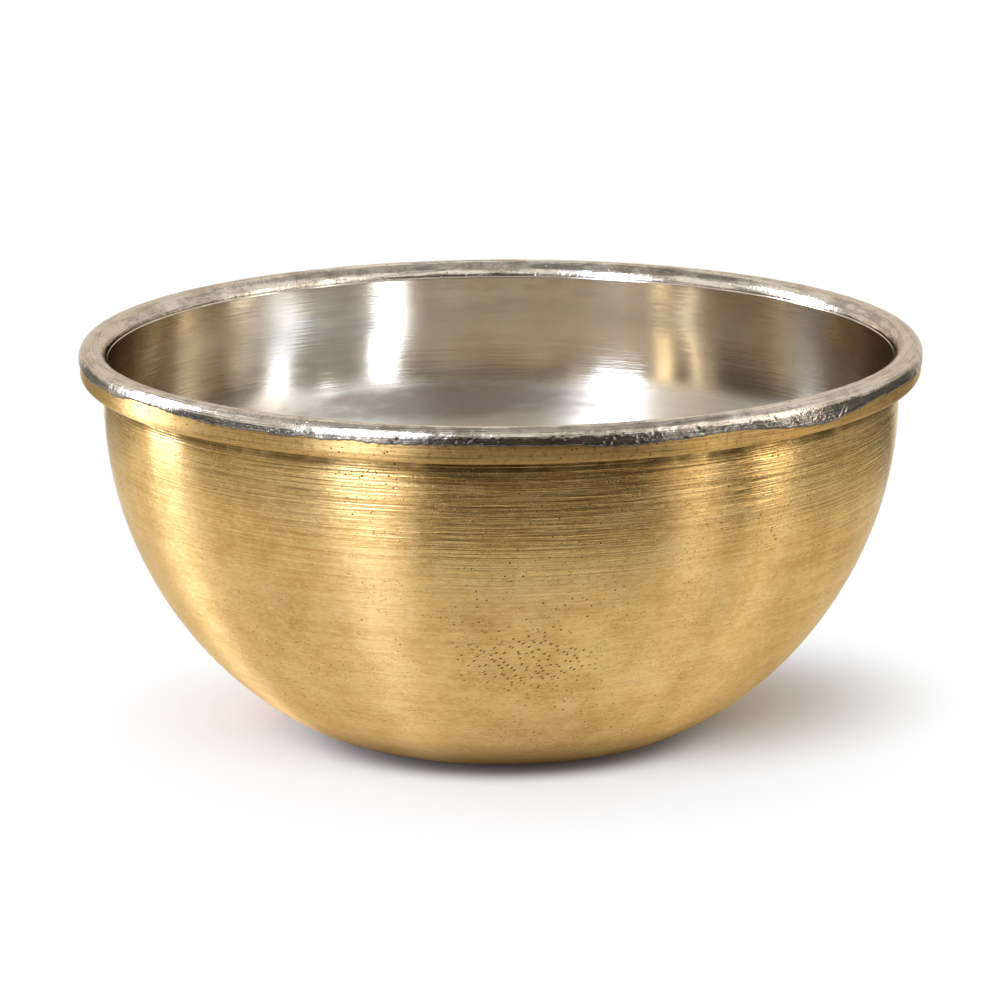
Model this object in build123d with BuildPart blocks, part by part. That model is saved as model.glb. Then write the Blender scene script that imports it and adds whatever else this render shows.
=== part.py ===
from build123d import *
import os
from math import acos, cos, degrees, radians, sin

# Offering bowl of thin sheet brass with a wired, rolled rim, tinned inside and over the rim.
# Millimetres, +Z up, origin at the centre of the flat base, Z is the bowl's axis.

# Driving dimensions
rim_diameter = 120.0      # over the tinned bead, the widest place
overall_height = 57.3     # base to the crown of the tinned bead
base_diameter = 32.7      # flat that the bowl stands on
belly_turn = 35.0         # degrees that the sheet has turned where the belly runs into the wall
sheet = 0.6               # brass sheet thickness

wire_diameter = 1.7       # wire inside the rolled rim
wire_clearance = 0.05     # room between the wire and the sheet round it
wire_end_gap = 0.5        # between the butted ends of the wire ring
bead_flank = 1.95         # upright stretch on the outer side of the bead
lip_clearance = 0.1       # between the tucked lip and the wall

wall_upright = 4.3        # upright stretch at the top of the wall, up into the bead
neck_step = 0.75          # how far the sheet steps out above the wall, inside the bead
neck_cove_radius = 0.6    # hollow bend of the step, on the outer face
neck_round_radius = 0.6   # bend back to upright, on the inner face
neck_drop = 0.2           # from the wire's level down to where the step ends

lining = 0.15             # tin on the inside
rim_coat = 0.2            # tin over the bead
rim_coat_drop = 1.3       # how far the rim's tin runs down the bead's outer flank

# Bead: the sheet bends round the wire, so its radii follow the wire
bend_inside = wire_diameter / 2 + wire_clearance
bend_outside = bend_inside + sheet
bead_radius = rim_diameter / 2 - rim_coat - bend_outside
crown_level = overall_height - rim_coat - bend_outside
curl_level = crown_level - bead_flank
mouth_radius = bead_radius - bend_outside

# Neck: two bends of opposite hand, behind the bead, that step the sheet out round the wire
neck_radii = neck_cove_radius + neck_round_radius + sheet
neck_angle = acos(1 - neck_step / neck_radii)
neck_top = crown_level - neck_drop
neck_bottom = neck_top - neck_radii * sin(neck_angle)
mouth_level = (neck_top + crown_level) / 2
wall_radius = bead_radius - bend_inside - neck_step
lip_radius = wall_radius + lip_clearance

# Belly and wall: two tangent arcs that close the outline from the level base to the upright wall
turn = radians(belly_turn)
base_radius = base_diameter / 2
wall_top = neck_bottom - wall_upright
spread = wall_radius - base_radius
closing = sin(turn) * cos(turn) - (1 - sin(turn)) * (1 - cos(turn))
belly_arc = (spread * cos(turn) - wall_top * (1 - sin(turn))) / closing
wall_arc = (wall_top * sin(turn) - spread * (1 - cos(turn))) / closing

os.makedirs("parts", exist_ok=True)


def side(depth):
    """Draw belly, wall and neck at a depth inside the outer face, and give their first and last points."""
    neck_turn = degrees(neck_angle)
    cove_center = (wall_radius + neck_cove_radius, neck_bottom)
    round_outside = neck_round_radius + sheet
    round_center = (wall_radius + neck_step - round_outside, neck_top)
    belly = CenterArc((base_radius, belly_arc), belly_arc - depth, -90, belly_turn)
    CenterArc((wall_radius - wall_arc, wall_top), wall_arc - depth, belly_turn - 90, 90 - belly_turn)
    Line((wall_radius - depth, wall_top), (wall_radius - depth, neck_bottom))
    CenterArc(cove_center, neck_cove_radius + depth, 180, -neck_turn)
    neck = CenterArc(round_center, round_outside - depth, -neck_turn, neck_turn)
    return belly @ 0, neck @ 1


# Brass shell: base, belly, wall, neck and rolled bead, one sheet thickness throughout
with BuildPart() as brass_shell:
    with BuildSketch(Plane.XZ):
        with BuildLine():
            outer_foot, outer_neck = side(0)
            inner_foot, inner_neck = side(sheet)
            Line((0, 0), outer_foot)
            Line(outer_neck, (bead_radius - bend_inside, crown_level))
            CenterArc((bead_radius, crown_level), bend_inside, 180, -180)
            Line((bead_radius + bend_inside, crown_level), (bead_radius + bend_inside, curl_level))
            CenterArc((bead_radius, curl_level), bend_inside, 0, -90)
            Polyline(
                (bead_radius, curl_level - bend_inside),
                (lip_radius, curl_level - bend_inside),
                (lip_radius, curl_level - bend_outside),
                (bead_radius, curl_level - bend_outside),
            )
            CenterArc((bead_radius, curl_level), bend_outside, -90, 90)
            Line((bead_radius + bend_outside, curl_level), (bead_radius + bend_outside, crown_level))
            CenterArc((bead_radius, crown_level), bend_outside, 0, 180)
            Line((mouth_radius, crown_level), inner_neck)
            Polyline(inner_foot, (0, sheet), (0, 0))
        make_face()
    revolve(axis=Axis.Z)
brass_shell.part.label = "brass_shell"
export_step(brass_shell.part, "parts/brass_shell.step")

# Rim wire: a ring in the crown of the bead, with its two ends butted
with BuildPart() as rim_wire:
    with BuildSketch(Plane.XZ):
        with Locations((bead_radius, crown_level)):
            Circle(wire_diameter / 2)
    revolve(axis=Axis.Z, revolution_arc=360 - degrees(wire_end_gap / bead_radius))
rim_wire.part.label = "rim_wire"
export_step(rim_wire.part, "parts/rim_wire.step")

# Tin lining: a wiped skin on the whole inside, up to where the rim's heavier coat begins
with BuildPart() as tin_lining:
    with BuildSketch(Plane.XZ):
        with BuildLine():
            brass_foot, brass_neck = side(sheet)
            face_foot, face_neck = side(sheet + lining)
            Line((0, sheet), brass_foot)
            Polyline(
                brass_neck,
                (mouth_radius, mouth_level),
                (mouth_radius - lining, mouth_level),
                face_neck,
            )
            Polyline(face_foot, (0, sheet + lining), (0, sheet))
        make_face()
    revolve(axis=Axis.Z)
tin_lining.part.label = "tin_lining"
export_step(tin_lining.part, "parts/tin_lining.step")

# Rim tin: a heavier coat from the mouth, over the crown and down part of the bead's outer flank
with BuildPart() as rim_tin:
    with BuildSketch(Plane.XZ):
        with BuildLine():
            outer_edge = bead_radius + bend_outside
            drop_level = crown_level - rim_coat_drop
            CenterArc((bead_radius, crown_level), bend_outside, 0, 180)
            CenterArc((bead_radius, crown_level), bend_outside + rim_coat, 0, 180)
            Polyline(
                (mouth_radius, crown_level),
                (mouth_radius, mouth_level),
                (mouth_radius - rim_coat, mouth_level),
                (mouth_radius - rim_coat, crown_level),
            )
            Polyline(
                (outer_edge, crown_level),
                (outer_edge, drop_level),
                (outer_edge + rim_coat, drop_level),
                (outer_edge + rim_coat, crown_level),
            )
        make_face()
    revolve(axis=Axis.Z)
rim_tin.part.label = "rim_tin"
export_step(rim_tin.part, "parts/rim_tin.step")
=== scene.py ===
"""Offering bowl: turned brass shell, wired rolled rim, wiped tin inside and run tin over the rim.

Every shape is a grid of rings: an outline in the half plane (radius, level) is carried once round the
upright axis, and small heights along the outline's normal add tool marks, dents and runs of tin.
Lengths are in metres. Azimuth 0 is the front, which faces -Y, and grows towards +X.
"""

import logging
import math
from dataclasses import dataclass, field, replace
from enum import Enum
from typing import Protocol

import bpy
import numpy as np
from mathutils import Matrix, Vector
from numpy.typing import NDArray


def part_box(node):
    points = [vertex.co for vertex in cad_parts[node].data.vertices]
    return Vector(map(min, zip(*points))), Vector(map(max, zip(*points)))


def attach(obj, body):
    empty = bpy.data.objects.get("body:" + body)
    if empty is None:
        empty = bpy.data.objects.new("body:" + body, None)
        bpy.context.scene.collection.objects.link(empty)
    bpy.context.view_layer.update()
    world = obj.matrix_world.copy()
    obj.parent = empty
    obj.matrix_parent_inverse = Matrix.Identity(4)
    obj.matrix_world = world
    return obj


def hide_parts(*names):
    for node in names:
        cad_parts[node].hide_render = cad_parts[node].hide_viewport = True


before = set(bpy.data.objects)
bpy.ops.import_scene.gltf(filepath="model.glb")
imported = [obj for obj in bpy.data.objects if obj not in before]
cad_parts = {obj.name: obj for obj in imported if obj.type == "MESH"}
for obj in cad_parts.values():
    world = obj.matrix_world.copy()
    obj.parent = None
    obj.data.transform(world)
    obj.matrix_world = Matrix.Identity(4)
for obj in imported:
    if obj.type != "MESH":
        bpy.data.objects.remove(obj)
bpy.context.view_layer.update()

Array = NDArray[np.float64]
Color = tuple[float, float, float]
Point = tuple[float, float, float]
Numbers = tuple[float, ...]
# A fade is its two ends and, where it isn't 1, its most
Fade = tuple[float, ...]
# Noise is its cells per millimetre, its layers and their share
Noise = tuple[float, ...]
# Strokes are their cells per millimetre round the axis and along the outline, their layers and their share
Strokes = tuple[float, ...]
# A sum is its start, then the weight of each of its values
Sum = tuple[float, ...]
Pair = tuple[float, float]
Socket = bpy.types.NodeSocket
MM = 0.001
WHITE = (1.0, 1.0, 1.0)
QUARTER = math.pi / 2
log = logging.getLogger("offering_bowl")


class Node(Enum):
    """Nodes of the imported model."""

    BRASS_SHELL = "brass_shell"
    RIM_WIRE = "rim_wire"
    TIN_LINING = "tin_lining"
    RIM_TIN = "rim_tin"


class Slot(Enum):
    """Material slots of the record."""

    BRASS = "brass"
    LINING_TIN = "lining_tin"
    RIM_TIN = "rim_tin"
    IRON_WIRE = "iron_wire"


class Trace(Enum):
    """Values that a piece carries on its points for its finish, in millimetres or from 0 to 1."""

    ALONG = "along_mm"
    # Grime in the turned grooves, and painted shade in the band under the bead
    GRIME_AND_SHADE = "groove"
    BEAD = "bead"
    MARGIN = "margin_mm"


@dataclass(frozen=True)
class Arc:
    """Part of a circle in the half plane, from a start angle through a sweep, in radians."""

    center: Pair
    radius: float
    start: float
    sweep: float
    count: int

    def points(self) -> Array:
        """Return count points, center plus radius times (cosine, sine) of an evenly turned angle."""
        angle = self.start + self.sweep * np.linspace(0.0, 1.0, self.count)
        return np.array(self.center) + self.radius * np.stack([np.cos(angle), np.sin(angle)], axis=1)

    def back(self) -> "Arc":
        """Return the same arc run the other way."""
        return Arc(self.center, self.radius, self.start + self.sweep, -self.sweep, self.count)


@dataclass(frozen=True)
class Straight:
    """Straight stretch in the half plane."""

    start: Pair
    end: Pair
    count: int

    def points(self) -> Array:
        """Return count points, evenly spaced from start to end."""
        share = np.linspace(0.0, 1.0, self.count)[:, None]
        return (1.0 - share) * np.array(self.start) + share * np.array(self.end)

    def back(self) -> "Straight":
        """Return the same stretch run the other way."""
        return Straight(self.end, self.start, self.count)


@dataclass(frozen=True)
class Outline:
    """Joined stretches with their outward normals and the length run so far."""

    radius: Array
    level: Array
    normal_radius: Array
    normal_level: Array
    length: Array
    marks: Numbers

    @classmethod
    def join(cls, stretches: list[Arc | Straight]) -> "Outline":
        """Join stretches end to end.

        The normal is the tangent turned a quarter clockwise, so an outline that runs up the outside
        has its normals outwards.

        Args:
            stretches: arcs and straights, each starting where the one before ends.

        Returns:
            The outline, with the length at the end of each stretch in marks.
        """
        parts = [stretch.points() for stretch in stretches]
        points = np.concatenate([parts[0]] + [part[1:] for part in parts[1:]])
        steps = np.hypot(*np.diff(points, axis=0).T)
        length = np.concatenate([[0.0], np.cumsum(steps)])
        ends = np.cumsum([len(parts[0])] + [len(part) - 1 for part in parts[1:]]) - 1
        tangent = np.gradient(points, length, axis=0)
        tangent /= np.hypot(*tangent.T)[:, None]
        marks = tuple(length[ends].tolist())
        return cls(points[:, 0], points[:, 1], tangent[:, 1], -tangent[:, 0], length, marks)

    def lift(self, height: Array) -> tuple[Array, Array]:
        """Return the radii and levels of a grid that stands off the outline by a height at each point."""
        radius = self.radius[:, None] + height * self.normal_radius[:, None]
        return radius, self.level[:, None] + height * self.normal_level[:, None]


@dataclass
class BowlSizes:
    """Sizes of the bowl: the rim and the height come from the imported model, the rest repeats its solids."""

    rim_radius: float
    height: float
    base_radius: float = 16.35 * MM
    belly_turn: float = math.radians(35.0)
    sheet: float = 0.6 * MM
    wire_radius: float = 0.85 * MM
    wire_clearance: float = 0.05 * MM
    bead_flank: float = 1.95 * MM
    lip_clearance: float = 0.1 * MM
    wall_upright: float = 4.3 * MM
    neck_step: float = 0.75 * MM
    neck_cove: float = 0.6 * MM
    neck_round: float = 0.6 * MM
    neck_drop: float = 0.2 * MM
    lining: float = 0.15 * MM
    rim_coat: float = 0.2 * MM

    @classmethod
    def from_frame(cls) -> "BowlSizes":
        """Take the rim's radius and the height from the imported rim."""
        low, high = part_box(Node.RIM_TIN.value)
        return cls(rim_radius=min(high.x - low.x, high.y - low.y) / 2, height=high.z)

    def __post_init__(self) -> None:
        """Work out the sizes that follow from those above."""
        # The sheet's bend round the wire, the bead's centre line, and the centres of its crown and its curl
        self.bend_inside = self.wire_radius + self.wire_clearance
        self.bend_outside = self.bend_inside + self.sheet
        self.bead_radius = self.rim_radius - self.rim_coat - self.bend_outside
        self.crown_level = self.height - self.rim_coat - self.bend_outside
        self.curl_level = self.crown_level - self.bead_flank

        # The turn of each of the neck's two bends, and the levels where they end and start
        bends = self.neck_cove + self.neck_round + self.sheet
        self.neck_angle = math.acos(1 - self.neck_step / bends)
        self.neck_top = self.crown_level - self.neck_drop
        self.neck_bottom = self.neck_top - bends * math.sin(self.neck_angle)

        # Where the lining gives way to the rim's tin, and the outside of the upright wall below the neck
        self.mouth_level = (self.neck_top + self.crown_level) / 2
        self.wall_radius = self.bead_radius - self.bend_inside - self.neck_step
        self.wall_top = self.neck_bottom - self.wall_upright

    @property
    def side_arcs(self) -> Pair:
        """Radii of the belly and of the wall, which close the outline from the base to the upright wall."""
        sine, cosine = math.sin(self.belly_turn), math.cos(self.belly_turn)
        spread = self.wall_radius - self.base_radius
        closing = sine * cosine - (1 - sine) * (1 - cosine)
        belly = (spread * cosine - self.wall_top * (1 - sine)) / closing
        wall = (self.wall_top * sine - spread * (1 - cosine)) / closing
        return belly, wall

    def side(self, depth: float, counts: tuple[int, int, int, int, int]) -> list[Arc | Straight]:
        """Return belly, wall, upright stretch and the neck's two bends at a depth inside the outer face.

        Args:
            depth: distance from the outer face, inwards.
            counts: points on each of the five stretches.

        Returns:
            Five stretches from the edge of the base to the top of the neck.
        """
        belly, wall = self.side_arcs
        turn, neck, cove = self.belly_turn, self.neck_angle, self.neck_cove
        outside = self.neck_round + self.sheet
        middle, bend = self.wall_radius - wall, self.wall_radius + self.neck_step - outside
        face = self.wall_radius - depth
        return [
            Arc((self.base_radius, belly), belly - depth, -QUARTER, turn, counts[0]),
            Arc((middle, self.wall_top), wall - depth, turn - QUARTER, QUARTER - turn, counts[1]),
            Straight((face, self.wall_top), (face, self.neck_bottom), counts[2]),
            Arc((self.wall_radius + cove, self.neck_bottom), cove + depth, math.pi, -neck, counts[3]),
            Arc((bend, self.neck_top), outside - depth, -neck, neck, counts[4]),
        ]


def azimuths(columns: int) -> Array:
    """Return evenly spaced azimuths once round the axis, as a row."""
    return np.linspace(-math.pi, math.pi, columns, endpoint=False)[None, :]


def smooth_step(value: Array, low: float, high: float) -> Array:
    """Return 0 below low, 1 above high and a smooth rise between them."""
    share = np.clip((value - low) / (high - low), 0.0, 1.0)
    return share * share * (3.0 - 2.0 * share)


def uneven(relief: Array, mean: float, spread: float, most: float) -> Array:
    """Return mean plus spread times relief, kept between 0 and the most."""
    return np.clip(mean + spread * relief, 0.0, most)


@dataclass(frozen=True)
class Ripples:
    """Smooth random relief of unit spread that closes round the axis.

    It is a sum of cosines of (whole waves round the axis times azimuth, plus length along the outline
    over a random reach, plus a random phase). Waves and reach are given from least to most.
    """

    seed: int
    waves: tuple[int, int]
    reach: Pair = (1.0, 2.0)
    count: int = 28

    def over(self, azimuth: Array, along: Array) -> Array:
        """Return heights on a grid.

        Args:
            azimuth: azimuths of the grid.
            along: lengths along the outline, of a shape that fits azimuth.

        Returns:
            Heights, rows by columns.
        """
        draw = np.random.default_rng(self.seed)
        least, most = self.waves
        turns = draw.integers(least, most + 1, self.count) * draw.choice([-1, 1], self.count)
        lengths = draw.uniform(*self.reach, self.count)
        phases = draw.uniform(0.0, math.tau, self.count)
        total = np.zeros(np.broadcast_shapes(azimuth.shape, along.shape))
        for turn, length, phase in zip(turns, lengths, phases):
            total += np.cos(turn * azimuth + math.tau * along / length + phase)
        return total * math.sqrt(2.0 / self.count)


@dataclass(frozen=True)
class Swell:
    """A bell round one azimuth, with its width in degrees and what it adds at its middle."""

    azimuth: float
    width: float
    height: float

    def over(self, azimuth: Array) -> Array:
        """Return height times e to the minus square of (angle away over width), closed round the axis."""
        away = np.angle(np.exp(1j * (azimuth - math.radians(self.azimuth))))
        return self.height * np.exp(-((away / math.radians(self.width)) ** 2))


def place_object(name: str, data: bpy.types.ID) -> bpy.types.Object:
    """Return a new object that shows the data, linked to the scene."""
    made = bpy.data.objects.new(name, data)
    bpy.context.scene.collection.objects.link(made)
    return made


def ring_points(radius: Array, azimuth: Array, level: Array) -> Array:
    """Return the points (radius sine a, minus radius cosine a, level) of a grid with azimuth a."""
    return np.stack([radius * np.sin(azimuth), -radius * np.cos(azimuth), level], axis=2)


def ring_mesh(
    name: str, radius: Array, level: Array, looped: bool, traces: dict[Trace, Array]
) -> bpy.types.Object:
    """Make a closed mesh from a grid of rings.

    The point in row i and column j lies on its radius and level at the azimuth of column j. Columns
    always close round the axis. Rows close into a ring, or end in a pole at each end.

    Args:
        name: name of the piece.
        radius: rows by columns of radii.
        level: rows by columns of levels.
        looped: true where the last row joins the first, false where both end on the axis.
        traces: values for the finish, rows by columns.

    Returns:
        The new object, linked to the scene.
    """
    rows, columns = radius.shape
    grid = ring_points(radius, azimuths(columns), level)
    rings = np.arange(rows * columns).reshape(rows, columns)
    lower, upper = (rings, np.roll(rings, -1, axis=0)) if looped else (rings[1:-2], rings[2:-1])
    quads = np.stack([lower, np.roll(lower, -1, axis=1), np.roll(upper, -1, axis=1), upper], axis=2)
    corners, sizes = quads.ravel(), np.full(lower.size, 4)
    keep = np.arange(rows * columns)
    if not looped:
        first, last = rings[0, 0], rings[-1, 0]
        bottom = np.stack([np.full(columns, first), np.roll(rings[1], -1), rings[1]], axis=1)
        top = np.stack([np.full(columns, last), rings[-2], np.roll(rings[-2], -1)], axis=1)
        corners = np.concatenate([corners, bottom.ravel(), top.ravel()])
        sizes = np.concatenate([sizes, np.full(2 * columns, 3)])
        keep = np.concatenate([[first], rings[1:-1].ravel(), [last]])
    order = np.zeros(rows * columns, dtype=np.int32)
    order[keep] = np.arange(len(keep))

    mesh = bpy.data.meshes.new(name)
    mesh.vertices.add(len(keep))
    mesh.vertices.foreach_set("co", grid.reshape(-1, 3)[keep].astype(np.float32).ravel())
    mesh.loops.add(len(corners))
    mesh.loops.foreach_set("vertex_index", order[corners])
    mesh.polygons.add(len(sizes))
    mesh.polygons.foreach_set("loop_start", (np.cumsum(sizes) - sizes).astype(np.int32))
    mesh.polygons.foreach_set("use_smooth", np.ones(len(sizes), dtype=bool))
    mesh.update(calc_edges=True)
    mesh.validate()
    for trace, values in traces.items():
        full = np.broadcast_to(values, (rows, columns)).ravel()[keep].astype(np.float32)
        mesh.attributes.new(trace.value, "FLOAT", "POINT").data.foreach_set("value", full)
    return place_object(name, mesh)


@dataclass(frozen=True)
class Scatter:
    """Dots in patches: cells per millimetre, a dot's share of its cell, the patches' cells and fade."""

    scale: float
    size: float
    patches: float
    fade: Fade


@dataclass(frozen=True)
class Oval:
    """A soft oval on the front view, in millimetres: its middle and half sizes, across and up."""

    middle: Pair
    half: Pair
    soft: float = 0.7
    ragged: float = 2.4


class Graph:
    """A material's node tree, with one short method for each kind of node that the finishes use."""

    DOT_CORE = 0.55
    QUARTER_TURN = 0.25

    def __init__(self, name: str, tree: bpy.types.NodeTree | None = None) -> None:
        """Start a material with a metal shader, or go on with a tree that is there.

        Args:
            name: name of the material.
            tree: the world's tree, or none for a new material.
        """
        if tree is not None:
            self.tree = tree
            return
        self.material = bpy.data.materials.new(name)
        self.material.use_nodes = True
        self.tree = self.material.node_tree
        self.shader = self.tree.nodes["Principled BSDF"]
        self.shader.inputs["Metallic"].default_value = 1.0

    def show(self, surface: Socket) -> None:
        """Show a plain surface in place of the metal."""
        self.tree.nodes.remove(self.shader)
        self.tree.links.new(surface, self.tree.nodes["Material Output"].inputs["Surface"])

    def node(
        self, kind: str, values: dict[str | int, object] | None = None, **settings: object
    ) -> bpy.types.Node:
        """Add a node, set its options and fill or link its inputs.

        Args:
            kind: Blender's name of the node.
            values: an input's name or place, and the socket, number, vector or colour for it.
            **settings: the node's own options.

        Returns:
            The new node.
        """
        made = self.tree.nodes.new(kind)
        for option, choice in settings.items():
            setattr(made, option, choice)
        for key, value in (values or {}).items():
            target = made.inputs[key]
            if isinstance(value, Socket):
                self.tree.links.new(value, target)
            else:
                target.default_value = (*value, 1.0) if target.type == "RGBA" else value
        return made

    def object_mm(self) -> Socket:
        """Return the place on the object, in millimetres."""
        place = self.node("ShaderNodeTexCoord").outputs["Object"]
        return self.node("ShaderNodeVectorMath", {0: place, "Scale": 1.0 / MM}, operation="SCALE").outputs[0]

    def trace(self, which: Trace) -> Socket:
        """Return a value that the piece carries on its points."""
        return self.node("ShaderNodeAttribute", attribute_name=which.value).outputs["Fac"]

    def split(self, vector: Socket) -> tuple[Socket, ...]:
        """Return the three parts of a vector."""
        return tuple(self.node("ShaderNodeSeparateXYZ", {0: vector}).outputs)

    def vector(self, x: object, y: object, z: object) -> Socket:
        """Return a vector of three sockets or numbers."""
        return self.node("ShaderNodeCombineXYZ", {0: x, 1: y, 2: z}).outputs[0]

    def distance(self, place: Socket, point: Point = (0.0, 0.0, 0.0)) -> Socket:
        """Return how far a place is from a point."""
        return self.node("ShaderNodeVectorMath", {0: place, 1: point}, operation="DISTANCE").outputs["Value"]

    def math(self, operation: str, *values: object) -> Socket:
        """Return the result of Blender's operation of this name on up to three sockets or numbers."""
        return self.node("ShaderNodeMath", dict(enumerate(values)), operation=operation).outputs[0]

    def times(self, first: object, second: object) -> Socket:
        """Return the product of two sockets or numbers."""
        return self.math("MULTIPLY", first, second)

    def most(self, first: object, second: object) -> Socket:
        """Return the greater of two sockets or numbers."""
        return self.math("MAXIMUM", first, second)

    def total(self, weights: Sum, *values: Socket) -> Socket:
        """Return the first of the weights, plus each value times its own weight.

        Args:
            weights: the start, then one weight for each value.
            *values: the values.

        Returns:
            The sum's socket.
        """
        result: Socket | float = weights[0]
        for value, weight in zip(values, weights[1:]):
            result = self.math("MULTIPLY_ADD", value, weight, result)
        return result

    def rise(self, value: Socket, low: float, high: float, most: float = 1.0) -> Socket:
        """Return 0 where value is below low, the most above high and a smooth rise between them."""
        inputs = {"Value": value, "From Min": low, "From Max": high, "To Max": most}
        return self.node("ShaderNodeMapRange", inputs, interpolation_type="SMOOTHSTEP").outputs["Result"]

    def noise(self, vector: Socket, scale: float, detail: float = 2.0, rough: float = 0.5) -> Socket:
        """Return random values round one half, by cells in one unit of the place, layers and their share."""
        inputs = {"Vector": vector, "Scale": scale, "Detail": detail, "Roughness": rough}
        return self.node("ShaderNodeTexNoise", inputs).outputs["Fac"]

    def strokes(
        self, place: tuple[Socket, ...], around: float, across: float, detail: float, rough: float = 0.6
    ) -> Socket:
        """Return noise drawn out round the axis, by cells per millimetre round it and along the outline."""
        cells = (around, around, across)
        drawn = self.vector(*(self.times(part, per_mm) for part, per_mm in zip(place, cells)))
        return self.noise(drawn, 1.0, detail, rough)

    def dots(
        self, vector: Socket, scale: float, size: float, scatter: float = 1.0, flat: bool = False
    ) -> Socket:
        """Return 1 in the middle of random dots and 0 outside them.

        Args:
            vector: place to read the dots at.
            scale: cells in one unit of the place.
            size: radius of a dot, as a share of its cell.
            scatter: 1 for random places, 0 for a regular grid.
            flat: true to use only the first two parts of the place.

        Returns:
            The value's socket.
        """
        inputs = {"Vector": vector, "Scale": scale, "Randomness": scatter}
        cells = self.node("ShaderNodeTexVoronoi", inputs, voronoi_dimensions="2D" if flat else "3D")
        near = {"Value": cells.outputs["Distance"], "From Min": size, "From Max": self.DOT_CORE * size}
        return self.node("ShaderNodeMapRange", near).outputs["Result"]

    def scattered(self, place: Socket, kind: Scatter) -> Socket:
        """Return dots that show only where the noise of their patches is high."""
        shown = self.rise(self.noise(place, kind.patches), *kind.fade)
        return self.times(self.dots(place, kind.scale, kind.size), shown)

    def patch(self, x: Socket, z: Socket, oval: Oval, ragged: Socket) -> Socket:
        """Return 1 inside an oval with a ragged edge, and 0 outside it.

        Args:
            x: place across, in millimetres.
            z: level, in millimetres.
            oval: the oval.
            ragged: noise round one half that moves the edge.

        Returns:
            The value's socket.
        """
        away = [
            self.total((-middle / half, 1.0 / half), value)
            for value, middle, half in zip((x, z), oval.middle, oval.half)
        ]
        squares = (self.times(part, part) for part in away)
        inside = self.total((0.0, oval.ragged, -1.0, -1.0), ragged, *squares)
        return self.rise(inside, 1.0 - oval.soft, 1.0)

    def mix(self, share: object, first: object, second: object) -> Socket:
        """Return a colour from the first at share 0 to the second at share 1."""
        return self.node("ShaderNodeMix", {0: share, 6: first, 7: second}, data_type="RGBA").outputs[2]

    def bumps(self, *reliefs: tuple[Socket, float]) -> Socket:
        """Return a normal tilted by reliefs that lie on each other.

        Args:
            *reliefs: each relief from 0 to 1, with what 1 stands for in metres.

        Returns:
            The normal's socket.
        """
        below: dict[str | int, object] = {}
        for height, depth in reliefs:
            inputs = {"Height": height, "Distance": depth, "Strength": 1.0, **below}
            below = {"Normal": self.node("ShaderNodeBump", inputs).outputs["Normal"]}
        return below["Normal"]

    def dress(
        self, color: Socket, roughness: Socket, normal: Socket, brushing: float = 0.0, edge: Color = WHITE
    ) -> bpy.types.Material:
        """Join the finished colour, roughness and normal to the shader.

        Args:
            color: base colour.
            roughness: roughness.
            normal: normal.
            brushing: how far gloss is drawn out across the rings, from 0 to 1.
            edge: tint of the gloss at a glancing angle.

        Returns:
            The material.
        """
        inputs = self.shader.inputs
        inputs["Specular Tint"].default_value = (*edge, 1.0)
        for name, socket in (("Base Color", color), ("Roughness", roughness), ("Normal", normal)):
            self.tree.links.new(socket, inputs[name])
        if brushing:
            inputs["Anisotropic"].default_value = brushing
            inputs["Anisotropic Rotation"].default_value = self.QUARTER_TURN
            ring = self.node("ShaderNodeTangent", direction_type="RADIAL", axis="Z").outputs[0]
            self.tree.links.new(ring, inputs["Tangent"])
        return self.material


class Finish(Protocol):
    """What a piece is made of. In every finish, places are in millimetres and depths in metres."""

    def material(self) -> bpy.types.Material:
        """Return the finish as a material."""


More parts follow.
